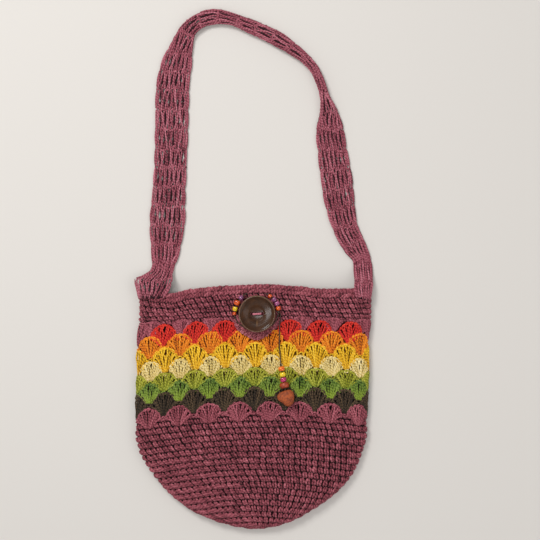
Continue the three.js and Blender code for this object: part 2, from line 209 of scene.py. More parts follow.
def strands(place, across, down, lift, radius, rng, sides=5, blend=None, shade=0.5):
    """Strands of yarn, one for each row of the arrays, whose points are given on a fabric."""
    points, out = place(across, down, lift)
    count, length = points.shape[:2]
    ahead = unit(np.gradient(points, axis=1))
    out = unit(out - (out * ahead).sum(-1, keepdims=True) * ahead)
    aside = np.cross(ahead, out)
    turn = 2 * np.pi * np.arange(sides) / sides
    ring = np.cos(turn)[:, None] * out[:, :, None] + np.sin(turn)[:, None] * aside[:, :, None]
    radius = np.broadcast_to(radius, (count, length)).copy()
    radius[:, [0, -1]] *= end_taper
    verts = points[:, :, None] + ring * radius[:, :, None, None]
    verts[..., 2] = np.maximum(verts[..., 2], 0)
    index = np.arange(count * length * sides).reshape(count, length, sides)
    near = index[:, :-1]
    far = index[:, 1:]
    quads = np.stack([near, np.roll(near, -1, 2), np.roll(far, -1, 2), far], -1).reshape(-1, 4)
    caps = np.concatenate([index[:, 0, ::-1], index[:, -1]])
    steps = np.linalg.norm(np.diff(points, axis=1), axis=-1)
    run = np.concatenate([np.zeros((count, 1)), np.cumsum(steps, 1)], 1) + rng.uniform(0, 50, (count, 1))
    j = np.arange(sides) / sides
    quad_uv = np.empty((count, length - 1, sides, 4, 2))
    quad_uv[..., 0] = np.stack([j, j + 1 / sides, j + 1 / sides, j], -1)
    quad_uv[..., :2, 1] = run[:, :-1, None, None]
    quad_uv[..., 2:, 1] = run[:, 1:, None, None]
    cap_uv = np.empty((2, count, sides, 2))
    cap_uv[0, ..., 0] = j[::-1]
    cap_uv[1, ..., 0] = j
    cap_uv[0, ..., 1] = run[:, :1]
    cap_uv[1, ..., 1] = run[:, -1:]
    shade = np.repeat(np.clip(rng.normal(shade, shade_spread, count), -1, 1), length * sides)
    blend = np.zeros((count, length)) if blend is None else blend
    return {
        "verts": verts.reshape(-1, 3),
        "quads": quads,
        "caps": caps,
        "uv": np.concatenate([quad_uv.reshape(-1, 2), cap_uv.reshape(-1, 2)]),
        "shade": shade,
        "blend": np.repeat(blend.reshape(-1), sides),
    }


def stitches(place, template, centre, top, width, height, radius, rng, loose=0.04, lower=0.0, shade=0.5):
    """One stitch at each centre: its strands are rows of (across, down, lift) in shares of the stitch."""
    made = []
    count = len(centre)
    top = np.broadcast_to(top, count)[:, None]
    height = np.broadcast_to(height, count)[:, None]
    for strand in template:
        shape = np.array(strand, float)
        slip = rng.normal(0, loose, (2, count, len(shape)))
        across = centre[:, None] + width * (shape[:, 0] + slip[0])
        down = top + height * (shape[:, 1] + slip[1])
        lift = shape[:, 2] + rng.normal(0, 0.1, (count, 1)) - lower + np.zeros_like(across)
        thick = radius * rng.normal(1, 0.07, (count, 1)) * np.ones(len(shape))
        made.append(strands(place, across, down, lift, thick, rng, 5, None, shade))
    return made


def yarn_piece(name, runs, yarn, backing=None, dark=None):
    """One mesh of all the strands of a piece, with its backing, painted dark as shade, as a closed ring of
    quads.
    """
    verts = np.concatenate([r["verts"] for r in runs])
    starts = np.cumsum([0] + [len(r["verts"]) for r in runs[:-1]])
    loops, sizes, uv = [], [], []
    for run, start in zip(runs, starts):
        for faces in (run["quads"], run["caps"]):
            loops.append((faces + start).reshape(-1))
            sizes.append(np.full(len(faces), faces.shape[1]))
        uv.append(run["uv"])
    yarn_faces = sum(len(s) for s in sizes)
    shade = [r["shade"] for r in runs]
    blend = [r["blend"] for r in runs]
    if backing is not None:
        loops.append((backing[1] + len(verts)).reshape(-1))
        sizes.append(np.full(len(backing[1]), 4))
        uv.append(np.zeros((backing[1].size, 2)))
        verts = np.concatenate([verts, backing[0]])
        shade.append(np.full(len(backing[0]), 0.5))
        blend.append(np.zeros(len(backing[0])))
    loops = np.concatenate(loops)
    sizes = np.concatenate(sizes)
    mesh = bpy.data.meshes.new(name)
    mesh.vertices.add(len(verts))
    mesh.vertices.foreach_set("co", (verts * 0.001).astype(np.float32).ravel())
    mesh.loops.add(len(loops))
    mesh.loops.foreach_set("vertex_index", loops.astype(np.int32))
    mesh.polygons.add(len(sizes))
    mesh.polygons.foreach_set("loop_start", np.concatenate([[0], np.cumsum(sizes)[:-1]]).astype(np.int32))
    mesh.polygons.foreach_set("loop_total", sizes.astype(np.int32))
    mesh.polygons.foreach_set("use_smooth", np.ones(len(sizes), bool))
    mesh.polygons.foreach_set("material_index", (np.arange(len(sizes)) >= yarn_faces).astype(np.int32))
    mesh.update(calc_edges=True)
    mesh.uv_layers.new(name="strand")
    mesh.uv_layers["strand"].data.foreach_set("uv", np.concatenate(uv).astype(np.float32).ravel())
    for label, values in (("shade", shade), ("blend", blend)):
        layer = mesh.attributes.new(label, "FLOAT", "POINT")
        layer.data.foreach_set("value", np.concatenate(values).astype(np.float32))
    mesh.materials.append(yarn)
    if backing is not None:
        mesh.materials.append(dark)
    return placed(name, mesh)


def backing_ring(top, bottom, outer=-2.3, inner=-3.1, rows=3):
    """A closed band of fabric right round the pouch, behind the strands."""
    around = np.linspace(0, 1, 241)[:-1]
    drops = np.linspace(top, bottom, rows)
    drop = np.concatenate([drops, drops[::-1]])
    lift = np.concatenate([np.full(rows, outer), np.full(rows, inner)])
    a, d = np.meshgrid(around, drop, indexing="ij")
    verts, _ = on_pouch(a, d, np.broadcast_to(lift, a.shape))
    index = np.arange(verts.shape[0] * verts.shape[1]).reshape(verts.shape[:2])
    quads = [index, np.roll(index, -1, 1), np.roll(np.roll(index, -1, 1), -1, 0), np.roll(index, -1, 0)]
    return verts.reshape(-1, 3), np.stack(quads, -1).reshape(-1, 4)


def texture(nodes, links, kind, sockets, where=None):
    """A texture on the piece's own coordinates, or on others."""
    node = nodes.new("ShaderNodeTex" + kind)
    set_sockets(node, sockets)
    links.new(where or nodes.new("ShaderNodeTexCoord").outputs["Object"], node.inputs["Vector"])
    return node


def mixed(nodes, links, share, first, second):
    """A colour that fades by a share into a second one, which is a socket or a fixed colour."""
    node = nodes.new("ShaderNodeMix")
    node.data_type = "RGBA"
    first_colour, second_colour, mixed_colour = node.inputs[6], node.inputs[7], node.outputs[2]
    links.new(share, node.inputs["Factor"])
    links.new(first, first_colour)
    if isinstance(second, list):
        second_colour.default_value = second
    else:
        links.new(second, second_colour)
    return mixed_colour


def plied_yarn_group():
    """Two plies twisted along the strand, painted darker in the grooves between them as shade and lighter on
    their crests as highlight, with fibre flecks and a shade for each strand.
    """
    group = bpy.data.node_groups.new("plied yarn", "ShaderNodeTree")
    face = group.interface
    for label, kind, value in (
        ("Colour", "NodeSocketColor", (0.3, 0.05, 0.07, 1)),
        ("Second colour", "NodeSocketColor", (0.3, 0.05, 0.07, 1)),
        ("Crease shade colour", "NodeSocketColor", (0.05, 0.01, 0.01, 1)),
        ("Fleck and highlight colour", "NodeSocketColor", (0.6, 0.3, 0.3, 1)),
        ("Twist length", "NodeSocketFloat", 3.0),
    ):
        face.new_socket(label, in_out="INPUT", socket_type=kind).default_value = value
    face.new_socket("Colour", in_out="OUTPUT", socket_type="NodeSocketColor")
    face.new_socket("Height", in_out="OUTPUT", socket_type="NodeSocketFloat")
    nodes = group.nodes
    links = group.links
    inside = nodes.new("NodeGroupInput")
    outside = nodes.new("NodeGroupOutput")
    uv = nodes.new("ShaderNodeUVMap")
    uv.uv_map = "strand"
    parts = nodes.new("ShaderNodeSeparateXYZ")
    links.new(uv.outputs["UV"], parts.inputs[0])

    def maths(operation, a, b=None, clamp=False):
        node = nodes.new("ShaderNodeMath")
        node.operation = operation
        node.use_clamp = clamp
        for socket, value in zip(node.inputs, (a, b)):
            if isinstance(value, (int, float)):
                socket.default_value = value
            elif value is not None:
                links.new(value, socket)
        return node.outputs[0]

    lengthwise = maths("DIVIDE", parts.outputs["Y"], inside.outputs["Twist length"])
    twist = maths("MULTIPLY", maths("ADD", parts.outputs["X"], lengthwise), math.pi)
    ply = maths("ABSOLUTE", maths("SINE", twist))
    fibre = texture(nodes, links, "Noise", {"Scale": 1400, "Detail": 3}).outputs["Fac"]
    patch = texture(nodes, links, "Noise", {"Scale": 60}).outputs["Fac"]
    shade = nodes.new("ShaderNodeAttribute")
    shade.attribute_name = "shade"
    blend = nodes.new("ShaderNodeAttribute")
    blend.attribute_name = "blend"
    # The ply crests are painted towards the fleck colour as highlight, and the grooves between the plies
    # towards the crease colour as shade. Each strand's shade, the fibre noise and the patch noise vary this.
    light = maths("MULTIPLY", shade.outputs["Fac"], 0.6)
    for mask, weight in ((ply, 0.45), (fibre, 0.3), (patch, 0.15)):
        light = maths("ADD", light, maths("MULTIPLY", mask, weight))
    light = maths("SUBTRACT", light, 0.28)
    own, second, crease, fleck_and_highlight = (inside.outputs[i] for i in range(4))
    body = mixed(nodes, links, blend.outputs["Fac"], own, second)
    crease_shaded = mixed(nodes, links, maths("MULTIPLY", light, 2.0, True), crease, body)
    lit = maths("SUBTRACT", maths("MULTIPLY", light, 1.6), 0.8, True)
    links.new(mixed(nodes, links, lit, crease_shaded, fleck_and_highlight), outside.inputs["Colour"])
    height = maths("ADD", maths("MULTIPLY", ply, 0.8), maths("MULTIPLY", fibre, 0.4))
    links.new(height, outside.inputs["Height"])
    return group


plied_yarn = plied_yarn_group()


def linear(code, strength=1.0):
    """A colour written as six hexadecimal digits, for a shader socket."""
    parts = [int(code[i : i + 2], 16) / 255 for i in (0, 2, 4)]
    return [strength * (c / 12.92 if c < 0.04045 else ((c + 0.055) / 1.055) ** 2.4) for c in parts] + [1]


def bumped(nodes, links, height, shader, strength, distance):
    """Raises the shader's surface by a height."""
    bump = nodes.new("ShaderNodeBump")
    set_sockets(bump, {"Strength": strength, "Distance": distance})
    links.new(height, bump.inputs["Height"])
    links.new(bump.outputs["Normal"], shader.inputs["Normal"])
    return bump


def yarn_finish(name, colour, crease, fleck_and_highlight, second=None, twist=3.0):
    """Plied cotton yarn, in its own colour, the one it fades to, the one of its painted crease shade and the
    one of its flecks and painted highlights.
    """
    finish, nodes, links, shader = new_finish(name)
    group = nodes.new("ShaderNodeGroup")
    group.node_tree = plied_yarn
    set_sockets(group, {
        "Colour": linear(colour), "Second colour": linear(second or colour), "Crease shade colour": linear(crease),
        "Fleck and highlight colour": linear(fleck_and_highlight), "Twist length": twist,
    })
    links.new(group.outputs["Colour"], shader.inputs["Base Color"])
    bumped(nodes, links, group.outputs["Height"], shader, 0.6, 0.0003)
    set_sockets(shader, {
        "Roughness": 0.8, "Specular IOR Level": 0.22, "Sheen Weight": 0.06, "Sheen Roughness": 0.5,
    })
    return finish


def toned(nodes, links, mask, tones):
    """A colour between two tones, each given with its place on the mask."""
    ramp = nodes.new("ShaderNodeValToRGB")
    for i, (position, colour) in enumerate(tones):
        ramp.color_ramp.elements[i].position = position
        ramp.color_ramp.elements[i].color = colour
    links.new(mask, ramp.inputs["Fac"])
    return ramp.outputs["Color"]


def painted_shade_backing(name, colour):
    """Backs of the stitches: the same yarn in its own shadow, in small bumps painted lighter at their middles
    and darker at their edges.
    """
    finish, nodes, links, shader = new_finish(name)
    bumps = texture(nodes, links, "Voronoi", {"Scale": 420}).outputs["Distance"]
    # Painted highlight on the middle of each bump, painted shade at its edges.
    tones = (0, linear(colour, 1.5)), (1, linear(colour, 0.5))
    links.new(toned(nodes, links, bumps, tones), shader.inputs["Base Color"])
    bumped(nodes, links, bumps, shader, 0.8, 0.0008).invert = True
    set_sockets(shader, {"Roughness": 0.9, "Specular IOR Level": 0.15})
    return finish


plum = yarn_finish("plum_yarn", "803a44", "26070c", "be6e78")
# The backs of the plum stitches are painted near black: painted shade between the stitches.
plum_backs_painted_shade = painted_shade_backing("plum_yarn_backs_painted_shade", "1c070b")

single_crochet = [
    [(0.12, 0.96, -2.8), (-0.07, 0.78, -1.6), (-0.26, 0.5, -0.95), (-0.35, 0.26, -1.4), (-0.22, 0.05, -2.8)],
    [(0.44, 0.96, -2.8), (0.36, 0.78, -1.5), (0.22, 0.5, -0.9), (0.07, 0.26, -1.3), (-0.02, 0.05, -2.8)],
]
yarn_radius = 1.2
stitch_width = 5.85
row_shift = 0.48
lower_start = 138.5
pouch_rows = np.linspace(lower_start, 244.5, 18)
row_height = pouch_rows[1] - pouch_rows[0]


def crochet_rounds(tops, heights, rng, template, radius=yarn_radius, lower=0.0):
    """Rounds of stitches right round the pouch, each moved along by about half a stitch from the last."""
    made = []
    for i, (top, height) in enumerate(zip(tops, heights)):
        girth = 2 * (np.interp(top, end_drops, left_ends) + np.interp(top, end_drops, right_ends))
        count = max(8, round(girth / stitch_width))
        centre = (np.arange(count) + 0.5 + row_shift * i + rng.normal(0, 0.03, count)) / count
        made += stitches(on_pouch, template, centre, top, 1 / count, height, radius, rng, lower=lower)
    return made


rng = np.random.default_rng(11)
lower_runs = crochet_rounds(pouch_rows, [row_height] * len(pouch_rows), rng, single_crochet)


# Shell rounds: each colour is one round of sixteen fans, the red one of fourteen. A fan is a spray of posts
# worked into one stitch of the round below it, with a chain round its crest and small eyelets.
shells_round = 16
shell_width = 4 * half_pouch / shells_round
widest_turn = math.radians(100)
chain_links = 9
# Posts of a fan, in front and behind: how many, the share of the way where they start, points along, radius
# at the foot and at the crest, how much deeper, shade. The back posts lie deeper and carry a low shade: they
# are painted dark, as the shade between the front posts.
front_posts = (13, 0, 11, 0.68, 1.1, 0, 0.55)
back_posts = (8, 0.06, 7, 1.1, 1.6, 1.9, -0.45)


def fan(height, foot=2.3, reach=11.5, arch=0.5, knob=None, low=0.0):
    """Strands of one fan as rows of (x, y, lift, radius, shade) in mm, from the middle of its crest."""
    rise = arch * height
    made = []
    for count, start, points, thin, thick, under, shade in (front_posts, back_posts):
        t = np.linspace(start, 1 - start, points)
        for k in range(count):
            turn = widest_turn * (2 * (k + 0.5) / count - 1)
            end_x = reach * math.sin(turn)
            end_y = rise * (1 - math.cos(turn))
            start_x = foot * math.sin(0.9 * turn)
            start_y = height + 0.3 - 0.9 * abs(start_x) / foot
            across = start_x + (end_x - start_x) * t - 0.03 * end_x * np.sin(np.pi * t)
            down = start_y + (end_y - start_y) * t
            side_on = math.sin(turn) ** 2
            lift = -1.35 + 0.6 * t * (1 - 0.8 * side_on) - under - low
            if under == 0:
                side = 1 if k % 2 else -1
                part = side * (0.15 + 0.3 * t) * np.cos(2 * np.pi * t)
                across = across + part * math.cos(turn)
                down = down + part * math.sin(turn)
                lift = lift + side * 0.25 * np.sin(2 * np.pi * t)
            made.append(np.stack([across, down, lift, thin + (thick - thin) * t, shade + 0 * t], -1))
    s = np.linspace(0, 1, 4)
    for i in range(chain_links):
        turn = widest_turn * (2 * (i - 0.12 + 1.24 * s) / chain_links - 1)
        for side in (-1, 1):
            out = 0.2 + side * 0.75 * np.sin(np.pi * s) ** 0.8
            x = (reach + out) * np.sin(turn)
            y = rise - (rise + out) * np.cos(turn)
            lift = -0.95 - 0.4 * np.sin(turn) ** 2 + 0.3 * np.sin(np.pi * s) - low
            made.append(np.stack([x, y, lift, 0.8 + 0 * s, 0.65 + 0 * s], -1))
    if knob is not None:
        for side in (-1, 1):
            x = shell_width / 2 - 2.2 * np.cos(np.pi * s)
            y = knob + side * 1.5 * np.sin(np.pi * s)
            made.append(np.stack([x, y, -1.2 + 0 * s, 0.85 + 0 * s, 0.6 + 0 * s], -1))
    return made


def fan_round(crest, tip, centres, rng, blend_range=(0.0, 0.0), eyelets=True, **how):
    """One round of fans, each with an eyelet below its crest and one at each side."""
    made = []
    height = tip - crest
    count = len(centres)
    hole_x = np.array([-0.3, -9.9, 9.9]) + rng.normal(0, 0.4, (count, 3))
    hole_y = np.array([4.6, 0.48 * height, 0.48 * height]) + rng.normal(0, 0.5, (count, 3))
    hole_size = np.clip(rng.normal(0.8, 0.22, (count, 3)), 0.3, 1.2) * eyelets
    for shape in fan(height, **how):
        x = shape[:, 0] * rng.normal(1, 0.03, (count, 1)) + rng.normal(0, 0.26, (count, len(shape)))
        y = shape[:, 1] + rng.normal(0, 0.22, (count, len(shape)))
        lift = shape[:, 2] + rng.normal(0, 0.13, (count, 1)) * np.ones(len(shape))
        radius = shape[:, 3] * rng.normal(1, 0.08, (count, 1))
        for at_x, at_y, size in zip(hole_x.T[..., None], hole_y.T[..., None], hole_size.T[..., None]):
            away_x, away_y = x - at_x, y - at_y
            gap = np.maximum(np.hypot(away_x, away_y), 0.05)
            clear = np.where(size > 0, size + radius, 0)
            push = (gap**3 + clear**3) ** (1 / 3) / gap
            x, y = at_x + away_x * push, at_y + away_y * push
        share = np.clip(y / height, 0, 1)
        blend = blend_range[0] + (blend_range[1] - blend_range[0]) * share
        across = centres[:, None] + x / (4 * half_pouch)
        made.append(strands(on_pouch, across, crest + y, lift, radius, rng, 5, blend, shape[0, 4]))
    return made


even_centres = (np.arange(shells_round) + 0.5) / shells_round
odd_centres = np.arange(shells_round) / shells_round
red_centres = odd_centres + np.array([
    0, -0.0054, -0.0008, -0.0041, 0.002, 0.0054, 0.0045, 0.0085,
    0, 0.003, -0.002, 0.002, 0, -0.003, 0.003, 0.001,
])
red_centres = np.delete(red_centres, [0, 8])

# Each round has a name, the drops of its crest and foot, the places of its fans, and four colours of yarn:
# its own, the painted shade in its creases, the one of its flecks and painted highlights, and the one it
# fades to.
# Then come how far it has faded at the crest and at the foot, and what its fans differ in.
rounds = (
    ("red", 34.0, 55.2, red_centres, "b81a14", "3c0403", "ec4c38", "b81a14", (0, 0), {}),
    ("orange", 44.5, 66.8, even_centres, "d87808", "5c2403", "f4a234", "c8640a", (0, 1), {}),
    ("yellow", 57.2, 82.4, odd_centres, "d8a606", "5c3a03", "f6d048", "cc9408", (0, 1), {}),
    (
        "cream", 70.6, 90.0, even_centres, "d0b66c", "4c3818", "f2e2b0", "c6ac5c", (0, 1),
        {"reach": 9.8, "foot": 2.9},
    ),
    ("olive", 83.6, 101.8, odd_centres, "8e8a1a", "2c2a07", "c0be50", "76801a", (0, 1), {}),
    (
        "green", 93.2, 113.4, even_centres, "3d5a1c", "0e1705", "8ea04c", "869a2a", (0, 1),
        {"reach": 9.8, "foot": 3.2},
    ),
    ("brown", 103.6, 127.0, odd_centres, "34271b", "0a0704", "6a543a", "2e2418", (0, 1), {}),
)
lower_crest = 119.0
valley_foot = 46.4
knob_drop = 1.4
crests = [crest for _, crest, *_ in rounds] + [lower_crest]
feet_above = [valley_foot] + [tip for _, _, tip, *_ in rounds]
for number, (label, crest, tip, centres, colour, crease, fleck_and_highlight, second, shading, how) in enumerate(rounds):
    rng = np.random.default_rng(30 + number)
    knob = feet_above[number] + knob_drop - crest
    finish = yarn_finish(label + "_yarn", colour, crease, fleck_and_highlight, second)
    # The backing ring takes the round's crease colour: painted shade between the fans.
    backs = painted_shade_backing(label + "_yarn_backs_painted_shade", crease)
    ring = backing_ring(crest + 6, crests[number + 1] + 6)
    node = "shell_round_" + label
    fans = fan_round(crest, tip, centres, rng, shading, knob=knob, **how)
    piece = yarn_piece(node + "_yarn", fans, finish, ring, backs)
    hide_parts(node)
    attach(piece, "root")

rng = np.random.default_rng(12)
lower_runs += crochet_rounds([127.6, 132.8], [5.4, 5.8], rng, single_crochet, lower=1.2)
lower_knob = 127.9 + knob_drop - lower_crest
lower_runs += fan_round(lower_crest, lower_start, even_centres, rng, knob=lower_knob)
lower_runs += crochet_rounds([250.2], [1.9], rng, single_crochet)
fold_drops = np.linspace(190, 249.5, 32)
for fold in (-0.004, 0, 0.004, 0.496, 0.5, 0.504):
    down = fold_drops[:, None] + [0, 1.3, 2.6]
    along = fold + rng.normal(0, 0.0006, down.shape)
    lower_runs.append(strands(on_pouch, along, down, np.full(down.shape, -1.6), 1.25, rng))
lower_ring = backing_ring(125.3, 251.4, rows=10)
lower_piece = yarn_piece("lower_pouch_yarn", lower_runs, plum, lower_ring, plum_backs_painted_shade)
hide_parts("lower_pouch")
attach(lower_piece, "root")


# Top band: plum rounds at the mouth. The first two lie as braided chains over the rim, plain rounds
# follow, and shallow plum fans fill the valleys between the red shells and the folds at both sides.
rim_braid = [
    [(-0.55, 0.85, -1.7), (-0.3, 0.66, -1.0), (0.05, 0.42, -0.75), (0.38, 0.16, -0.95), (0.6, -0.06, -1.8)],
    [(-0.05, 1.0, -1.7), (0.2, 0.78, -1.05), (0.5, 0.5, -0.8), (0.8, 0.26, -1.0), (1.05, 0.1, -1.8)],
]
rim_roll = [
    [(-0.5, 0.0, -1.9), (-0.2, -0.1, -1.5), (0.2, 0.0, -1.6), (0.55, 0.1, -2.2)],
    [(-0.5, 0.0, -2.4), (-0.2, 0.1, -2.8), (0.2, 0.2, -2.7), (0.55, 0.0, -2.2)],
]
band_rows = [8.8, 14.2, 19.6, 24.6]
rng = np.random.default_rng(13)
band_runs = crochet_rounds([0.2, 4.2], [4.4, 5.0], rng, rim_braid)
band_runs += crochet_rounds([0.6], [5.0], rng, rim_roll, 1.0)
band_runs += crochet_rounds(band_rows, [5.4, 5.4, 5.0, 4.6], rng, single_crochet)
band_runs += crochet_rounds([29.0], [5.0], rng, single_crochet, lower=0.7)
shallow = {"foot": 1.2, "reach": 8.6, "arch": 0.22, "low": 0.5, "eyelets": False}
band_runs += fan_round(30.6, valley_foot, even_centres, rng, **shallow)
at_folds = {"foot": 3.5, "reach": 12.0, "arch": 0.3, "low": 0.3, "eyelets": False}
band_runs += fan_round(31.5, 52.0, np.array([0, 0.5]), rng, **at_folds)
band_piece = yarn_piece("top_band_yarn", band_runs, plum, backing_ring(1.6, 37.3, rows=9), plum_backs_painted_shade)
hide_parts("top_band")
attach(band_piece, "root")


# Strap: one openwork band of stretched double crochet, worked onto both sides of the rim. It lies flat
# up both sides and rolls together over the crown.

# A row of a foot has the x and the rise above the rim of the outer edge, then of the inner edge. A row of
# a leg has the distance of its middle in from the pouch's side, the rise and the width.
left_foot = [
    (-119.8, -12, -93, -12), (-121, -4.5, -89.5, -6), (-122.8, 3, -85.5, 0), (-124.6, 9.4, -83.6, 5),
    (-114.5, 13.2, -83.6, 10), (-107.5, 18.7, -84.2, 15.5), (-106.4, 27, -80.5, 26),
]
left_leg = [
    (30.5, 45, 32), (32, 68, 37), (33.5, 99, 35), (35.5, 132, 34), (36.5, 170, 35), (37.5, 207, 35),
    (42, 235, 32), (48, 255, 23),
]
crown = [
    (-67, 271, 17), (-53, 281, 16), (-37.5, 284, 15.5), (-21.5, 281, 12.5), (0, 272.5, 14.5),
    (24, 261.5, 15.5), (41.5, 250, 12.5), (56, 238.5, 10),
]
right_leg = [
    (56.5, 226.5, 9), (50.5, 212, 9), (46.5, 198.5, 10), (43, 184, 19), (41.5, 166, 29), (38.5, 141, 31),
    (34.5, 113, 33), (30.5, 86, 31), (24.5, 61, 26), (15.5, 43, 24),
]
right_foot = [
    (124.4, 27, 104.6, 27), (125.2, 12, 105.2, 12), (125.2, 2, 105, 0), (123.8, -6, 106, -7),
    (122.6, -13, 108, -12),
]
strap_line = [(inset - half_pouch, rise, width) for inset, rise, width in left_leg] + crown
strap_line += [(half_pouch - inset, rise, width) for inset, rise, width in right_leg]


def smooth_line(rows, per_gap=14):
    """A smooth line through the rows, centripetal, with any further columns carried along."""
    p = np.array(rows, float)
    p = np.concatenate([[2 * p[0] - p[1]], p, [2 * p[-1] - p[-2]]])
    lead = min(3, p.shape[1])
    gaps = np.linalg.norm(np.diff(p[:, :lead], axis=0), axis=1) ** 0.5
    made = []
    for i in range(1, len(p) - 2):
        t0, t1, t2 = gaps[i - 1], gaps[i], gaps[i + 1]
        m1 = t1 * ((p[i] - p[i - 1]) / t0 - (p[i + 1] - p[i - 1]) / (t0 + t1) + (p[i + 1] - p[i]) / t1)
        m2 = t1 * ((p[i + 1] - p[i]) / t1 - (p[i + 2] - p[i]) / (t1 + t2) + (p[i + 2] - p[i + 1]) / t2)
        s = np.linspace(0, 1, per_gap + 1)[:-1, None]
        made.append(
            (2 * s**3 - 3 * s**2 + 1) * p[i] + (s**3 - 2 * s**2 + s) * m1
            + (3 * s**2 - 2 * s**3) * p[i + 1] + (s**3 - s**2) * m2
        )
    return np.concatenate(made + [p[-2:-1]])


def run_along(line):
    """How far along a line each of its points is."""
    return np.concatenate([[0], np.cumsum(np.linalg.norm(np.diff(line, axis=0), axis=1))])


strap_line = np.array(strap_line)
strap_ahead = unit(np.gradient(strap_line[:, :2], axis=0))
strap_aside = np.stack([-strap_ahead[:, 1], strap_ahead[:, 0]], 1) * strap_line[:, 2:] / 2
strap_edges = np.concatenate([strap_line[:, :2] + strap_aside, strap_line[:, :2] - strap_aside], 1)
strap_rows = smooth_line(np.concatenate([left_foot, strap_edges, right_foot]))
strap_run = run_along(strap_rows[:, :2] + strap_rows[:, 2:]) / 2
strap_height = 1.25
rolled_width = 31
rolled_from = 30
foot_rise = 22


def strap_skin(across, run):
    """A point of the strap: across runs -1 to 1 from its outer to its inner edge."""
    outer_x, outer_y, inner_x, inner_y = (np.interp(run, strap_run, strap_rows[:, i]) for i in range(4))
    width = np.hypot(inner_x - outer_x, inner_y - outer_y)
    roll = np.clip((rolled_width - width) / 15, 0, 1) * np.clip((outer_y - rolled_from) / 20, 0, 1)
    depth = np.clip(112 / width, 3.2, 8.5)
    bend = 0.15 + 2.6 * roll
    share = (1 - 1.6 / width) * np.sin(bend * across) / np.sin(np.minimum(bend, math.pi / 2)) / 2
    x = (outer_x + inner_x) / 2 + share * (inner_x - outer_x)
    rise = (outer_y + inner_y) / 2 + share * (inner_y - outer_y)
    near = np.clip(1 - rise / foot_rise, 0, 1)
    near = near * near * (3 - 2 * near)
    front = fold_height + 11.2 * np.sqrt(1 - np.clip(np.abs(x) / 125, 0, 1) ** 7)
    crease = roll * (depth - 2.2) * (1 + np.cos(bend * across)) / 2
    z = strap_height + crease + (front - strap_height) * near
    return np.stack([x + middle_x, rise + mouth_y, z], -1)


on_strap = on_skin(strap_skin, 0.02, 0.8, 1)
strap_columns = 7
strap_row_count = 34
row_pitch = strap_run[-1] / strap_row_count
column = 2 / strap_columns
post = [
    [
        (-0.4, -0.05, 0.1), (-0.24, 0.1, 0.5), (-0.12, 0.3, 0.4), (0.13, 0.52, 0.0), (0.16, 0.7, -0.2),
        (0.3, 0.9, 0.0), (0.45, 1.06, 0.2),
    ],
    [
        (0.4, -0.05, -0.2), (0.22, 0.1, -0.3), (0.16, 0.3, 0.0), (-0.1, 0.52, 0.4), (-0.16, 0.7, 0.5),
        (-0.25, 0.9, 0.3), (-0.45, 1.06, -0.1),
    ],
    [(0.3, 0.28, -0.3), (0.0, 0.36, 0.7), (-0.3, 0.44, -0.2)],
]
line_chain = [
    [(-0.55, 0.05, -0.2), (-0.2, -0.04, 0.55), (0.2, 0.03, 0.6), (0.55, -0.04, -0.1)],
    [(-0.55, -0.03, 0.1), (-0.2, 0.06, 0.45), (0.2, -0.03, 0.4), (0.55, 0.06, 0.2)],
]
rng = np.random.default_rng(14)
strap_runs = []
column_centres = -1 + column * (np.arange(strap_columns) + 0.5)
slips = rng.normal(0, 0.09 * row_pitch, (strap_row_count + 1, strap_columns))
slips[[0, -1]] = [np.linspace(2, 4, strap_columns), np.linspace(-1, -4, strap_columns)]
for row in range(strap_row_count):
    start = row * row_pitch + slips[row]
    tall = row_pitch + slips[row + 1] - slips[row]
    shift = column_centres + 0.12 * column * (row % 2 - 0.5) + rng.normal(0, 0.04 * column, strap_columns)
    strap_runs += stitches(on_strap, post, shift, start, column, tall, 0.86, rng, 0.05)
    # Behind the gaps between the posts lies a second, deeper layer of posts with a low shade, painted dark as
    # the shade in the openings.
    behind = 0.94 * (column_centres[:-1] + 0.5 * column)
    strap_runs += stitches(
        on_strap, post[:2], behind, start[:-1], 0.7 * column, tall[:-1], 1.0, rng, 0.06, 1.0, -0.5,
    )
    if row:
        strap_runs += stitches(on_strap, line_chain, column_centres, start, column, row_pitch, 0.82, rng)
    for edge in (-1, 1):
        out = edge * (0.16 if (row + edge) % 4 else 0.04)
        turn_chain = [
            [(0, 0.02, 0.1), (0.6 * out, 0.2, 0.3), (out, 0.5, 0.1), (0.6 * out, 0.8, 0.3), (0, 0.98, 0.1)],
            [(0, 0.05, -0.2), (-0.5 * out, 0.3, 0.4), (0, 0.6, 0.3), (0, 0.9, -0.2)],
        ]
        rim = np.array([edge * 0.98])
        strap_runs += stitches(on_strap, turn_chain, rim, row * row_pitch, column, row_pitch, 0.8, rng, 0.02)
strap_yarn = yarn_finish("strap_yarn", "8e4350", "2a0a12", "cc8490")
strap_piece = yarn_piece("strap_yarn", strap_runs, strap_yarn)
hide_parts("strap")
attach(strap_piece, "root")


# Button tab: a pointed tongue of the band below the button, raised off the shells. Five plum chains lie
# side by side along its pointed edge.
tab_x = 4.3
tab_middle = 30.0
tab_half = np.array([22.0, 23.6])
tab_low, tab_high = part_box("button_tab")
tab_z = 500 * (tab_low.z + tab_high.z)
tab_outline = smooth_line([
    (-14, 12), (-14, 20), (-15.5, 26.5), (-22.5, 30.5), (-24.2, 35), (-22.6, 40), (-17.8, 45.3), (-11, 49.6),
    (-4.6, 52.8), (0, 53.8), (4.4, 52.8), (9, 50.2), (14.8, 45.2), (18, 40.4), (18.8, 35), (17.8, 30.6),
    (15, 27), (14, 20), (14, 12),
], 5)


def tab_edge(inset):
    """The tab's outline from its left neck round the point to its right neck, drawn in by a distance."""
    return (tab_outline - [0, tab_middle]) * (1 - inset / tab_half) + [0, tab_middle]


